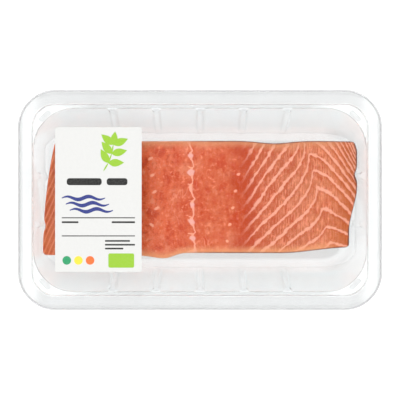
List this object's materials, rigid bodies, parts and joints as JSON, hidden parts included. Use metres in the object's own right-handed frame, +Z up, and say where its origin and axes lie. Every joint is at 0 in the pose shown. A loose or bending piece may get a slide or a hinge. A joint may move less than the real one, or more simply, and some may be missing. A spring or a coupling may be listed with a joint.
{
  "type": "packed salmon fillet",
  "caption": "Raw salmon fillet, skin side down, sealed in a clear ribbed tray with a clear lid film and a plain printed label.",
  "frame": {"origin": "on the standing surface, under the middle of the tray", "axes": "+X along the tray towards the back of the fish, +Y towards its head, +Z up"},
  "size_m": [0.22, 0.133, 0.0354],
  "materials": {
    "tray": "clear glossy formed sheet",
    "fillet": "moist raw flesh",
    "film": "clear glossy film",
    "label": "smooth coated paper"
  },
  "bodies": {
    "root": {"tray": "tray", "fillet": "fillet", "film": "film", "label": "label"}
  },
  "joints": []
}
